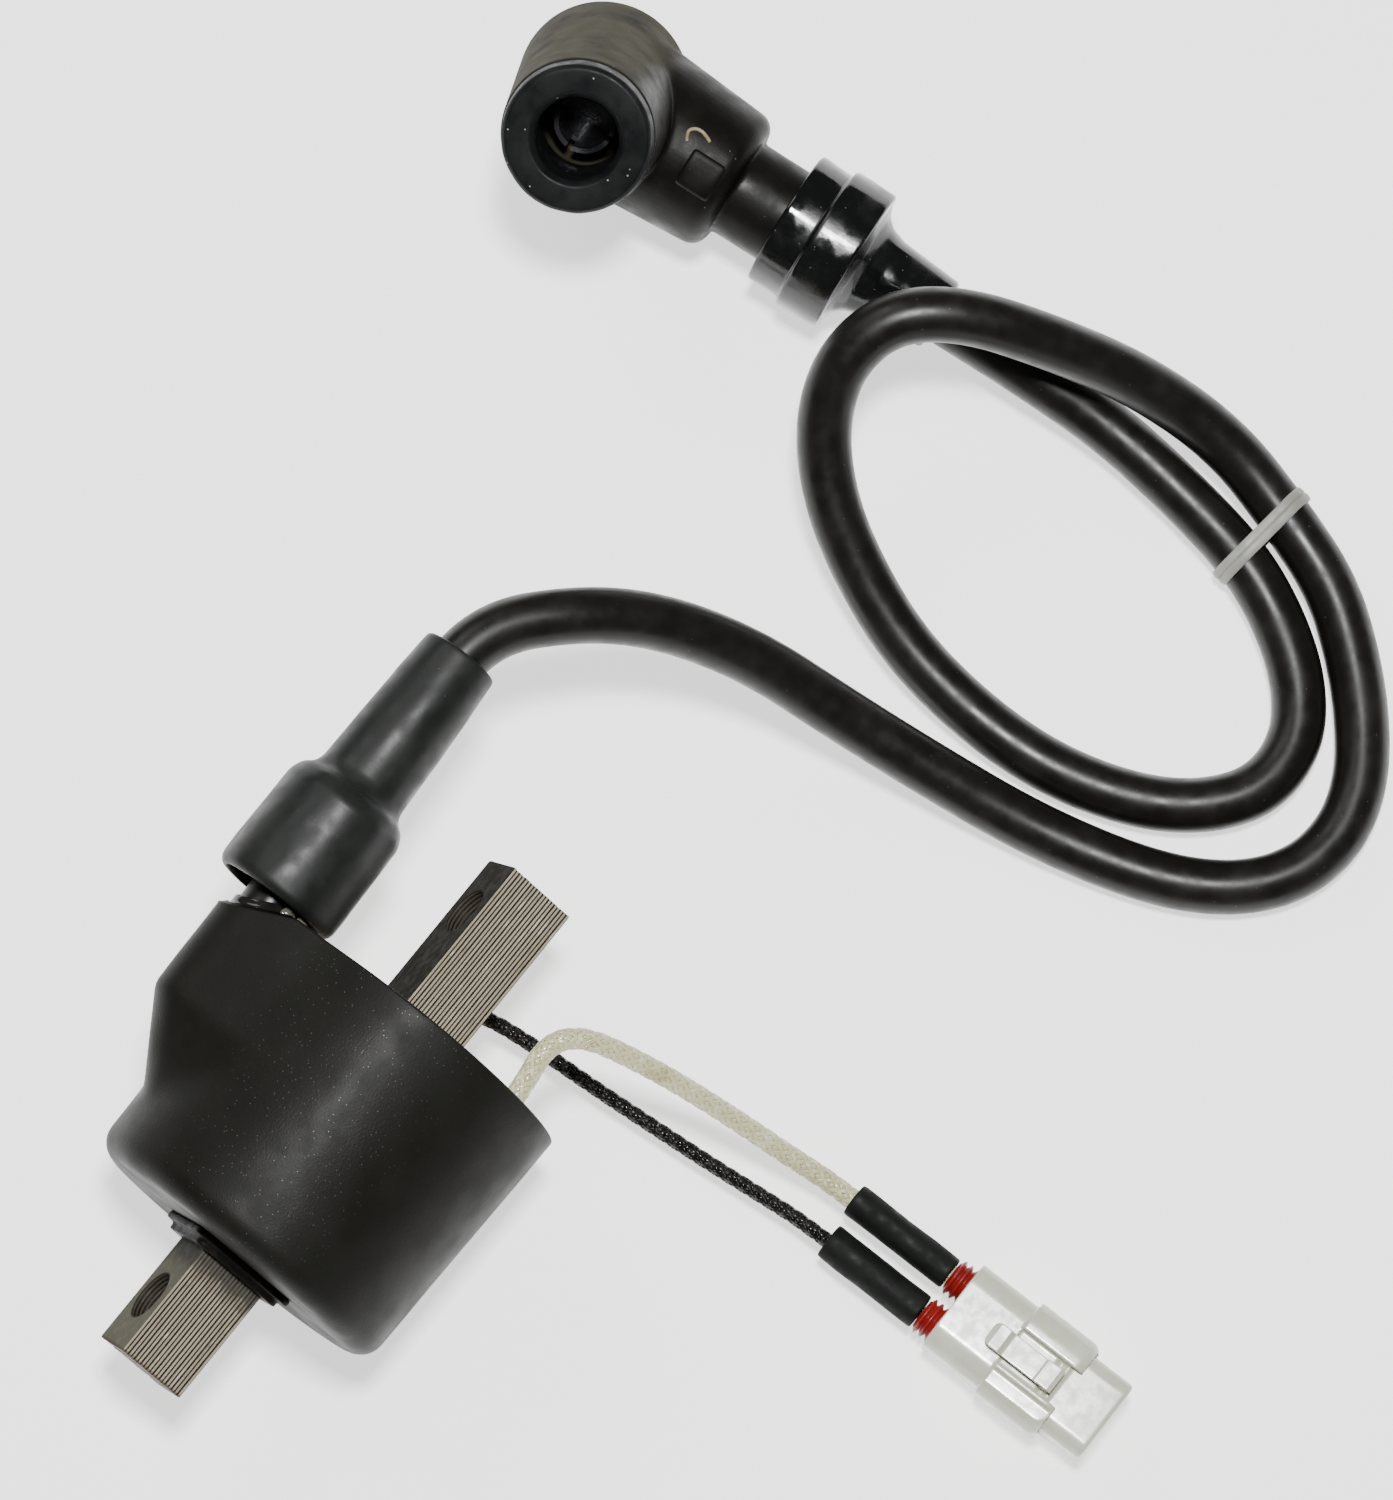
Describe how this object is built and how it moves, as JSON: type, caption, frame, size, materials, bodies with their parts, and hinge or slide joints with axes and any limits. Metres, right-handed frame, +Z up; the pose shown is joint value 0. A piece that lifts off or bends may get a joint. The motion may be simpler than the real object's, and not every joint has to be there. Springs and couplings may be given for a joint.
{
  "type": "ignition coil",
  "caption": "Small-engine ignition coil: round potted coil on a laminated bar core, booted high-tension lead in a tied loop, elbow plug cap, and two primary leads to a sealed connector.",
  "frame": {"origin": "on the surface that the coil lies on, under the centre of the coil body", "axes": "+X along the iron core towards the open potted end, +Y to the side where the high-tension lead leaves, +Z up"},
  "size_m": [0.1808, 0.1667, 0.0437],
  "materials": {
    "core_steel": "stacked sheet edges, lightly oiled",
    "case_plastic": "fine-grained black moulding",
    "seal_rubber": "dark semi-gloss rubber",
    "bobbin_plastic": "natural glass-filled plastic",
    "copper_wire": "enamelled copper wire",
    "terminal_brass": "tinned brass",
    "potting_resin": "cast epoxy, cream",
    "ht_lead_rubber": "smooth black sheath with a soft shine",
    "boot_rubber": "greenish black semi-gloss rubber",
    "tie_plastic": "grey plastic band",
    "cap_moulding": "dusty olive-black moulded rubber",
    "cap_rubber": "black glossy rubber",
    "resistor_ceramic": "glazed ceramic rod",
    "spring_steel": "bright spring steel",
    "white_sleeving": "lacquered ivory braid",
    "black_sleeving": "lacquered black braid",
    "shrink_tube": "matte black heat-shrink tube",
    "red_silicone": "dark red silicone rubber",
    "connector_nylon": "milky natural nylon"
  },
  "bodies": {
    "root": {"core_laminations": "core_steel", "coil_case": "case_plastic", "core_seal": "seal_rubber", "primary_bobbin": "bobbin_plastic", "primary_winding": "copper_wire", "secondary_bobbin": "bobbin_plastic", "secondary_winding": "copper_wire", "ht_terminal": "terminal_brass", "potting_compound": "potting_resin", "lead_splices": "terminal_brass", "ht_lead": "ht_lead_rubber", "lead_tie": "tie_plastic", "cap_lead_seal": "cap_rubber", "primary_lead_white": "white_sleeving", "primary_lead_black": "black_sleeving", "heat_shrink_white": "shrink_tube", "heat_shrink_black": "shrink_tube", "wire_seals": "red_silicone", "connector_housing": "connector_nylon", "contact_pins": "terminal_brass"},
    "boot": {"tower_boot": "boot_rubber"},
    "plug_cap": {"cap_body": "cap_moulding", "cap_mouth_seal": "cap_rubber", "cap_terminal": "terminal_brass", "cap_resistor": "resistor_ceramic", "cap_spring": "spring_steel", "cap_lead_screw": "spring_steel"},
    "latch": {"connector_latch": "connector_nylon"}
  },
  "joints": [
    {"name": "cap_twist", "type": "hinge", "parent": "root", "child": "plug_cap", "pos_m": [0.1245, 0.0563, 0.0156], "axis": [0.11, -0.9882, -0.107], "range_deg": [-90, 90]},
    {"name": "boot_slide", "type": "slide", "parent": "root", "child": "boot", "axis": [0.9995, 0.0275, 0.0143], "range_m": [-0.0004, 0.0015]},
    {"name": "latch_press", "type": "hinge", "parent": "root", "child": "latch", "pos_m": [0.031, -0.0889, 0.0105], "axis": [-1, 0, 0], "range_deg": [0, 5], "stiffness_Nm_per_rad": 0.02}
  ]
}
